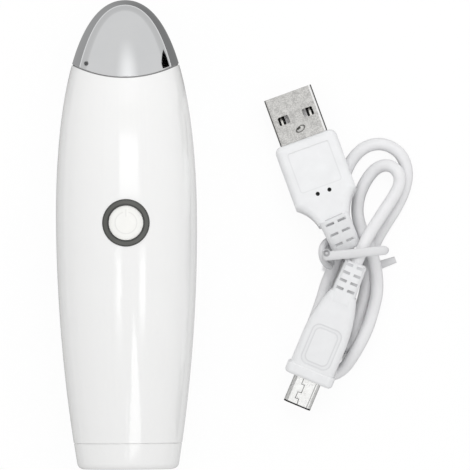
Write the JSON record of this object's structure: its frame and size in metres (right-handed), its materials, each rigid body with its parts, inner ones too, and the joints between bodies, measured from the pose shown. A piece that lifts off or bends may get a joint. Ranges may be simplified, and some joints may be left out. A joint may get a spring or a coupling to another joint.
{
  "type": "heated eye massager wand",
  "caption": "Pocket-sized heated eye massager: egg-shaped white wand with a polished metal head, ringed push button, pull-off base cap and its tied USB charging lead.",
  "frame": {"origin": "on the surface that the wand lies on, under the middle of its length", "axes": "+Y along the wand towards its metal head, +Z out of the button, +X towards the charging lead"},
  "size_m": [0.0864, 0.113, 0.0341],
  "materials": {
    "polished_metal": "mirror polished",
    "white_casing": "high gloss",
    "white_cap": "high gloss",
    "seal_rubber": "matt",
    "dark_ring": "satin",
    "button_plastic": "satin, lets light through",
    "inner_plastic": "moulded",
    "foam": "open-cell foam",
    "amber_film": "polyimide film",
    "aluminium": "turned",
    "glass_bead": "glass bead",
    "steel": "plain",
    "screw_steel": "zinc plated",
    "switch_black": "moulded",
    "clear_plastic": "clear",
    "lamp_resin": "cast resin",
    "board_green": "solder mask",
    "chip_black": "moulded",
    "ceramic": "ceramic",
    "connector_white": "moulded",
    "cell_wrap": "shrink-wrapped can",
    "wire_red": "insulated wire",
    "plated_steel": "nickel plated",
    "insulator": "moulded",
    "gold_contacts": "gold flash",
    "lead_overmould": "satin",
    "cable_jacket": "satin jacket",
    "tie_coating": "coated strip"
  },
  "bodies": {
    "wand": {"massage_head": "polished_metal", "front_shell": "white_casing", "back_shell": "white_casing", "head_seal": "seal_rubber", "motor_boot": "seal_rubber", "button_ring": "dark_ring", "head_carrier": "inner_plastic", "motor_cradle": "inner_plastic", "chassis": "inner_plastic", "end_plate": "inner_plastic", "insulating_pad": "foam", "battery_foam": "foam", "heater_film": "amber_film", "heat_spreader": "aluminium", "thermistor": "glass_bead", "motor_can": "steel", "battery_tabs": "steel", "board_screws": "screw_steel", "chassis_screws": "screw_steel", "end_screws": "screw_steel", "switch_body": "switch_black", "light_guide": "clear_plastic", "indicator_lights": "lamp_resin", "main_board": "board_green", "usb_board": "board_green", "control_chip": "chip_black", "charge_chip": "chip_black", "board_parts": "ceramic", "lead_connectors": "connector_white", "battery_cell": "cell_wrap", "motor_leads": "wire_red", "heater_leads": "wire_red", "usb_leads": "wire_red", "usb_socket_shell": "plated_steel", "large_plug_shell": "plated_steel", "small_plug_shell": "plated_steel", "usb_socket_tongue": "insulator", "small_plug_insulator": "insulator", "large_plug_insulator": "insulator", "large_plug_contacts": "gold_contacts", "small_plug_contacts": "gold_contacts", "large_plug_body": "lead_overmould", "large_plug_relief": "lead_overmould", "small_plug_body": "lead_overmould", "small_plug_relief": "lead_overmould", "charging_cable": "cable_jacket", "cable_tie": "tie_coating"},
    "button": {"button_cap": "button_plastic", "switch_plunger": "switch_black"},
    "motor_rotor": {"motor_shaft": "steel", "eccentric_weight": "steel"},
    "cap": {"base_cap": "white_cap", "cap_ring": "seal_rubber"}
  },
  "joints": [
    {"name": "button_press", "type": "slide", "parent": "wand", "child": "button", "axis": [0, 0, -1], "range_m": [0, 0.0004], "stiffness_N_per_m": 5000},
    {"name": "rotor_spin", "type": "hinge", "parent": "wand", "child": "motor_rotor", "pos_m": [0, 0.043, 0.017], "axis": [0, 1, 0], "continuous": true},
    {"name": "cap_pull", "type": "slide", "parent": "wand", "child": "cap", "axis": [0, -1, 0], "range_m": [0, 0.012]}
  ]
}
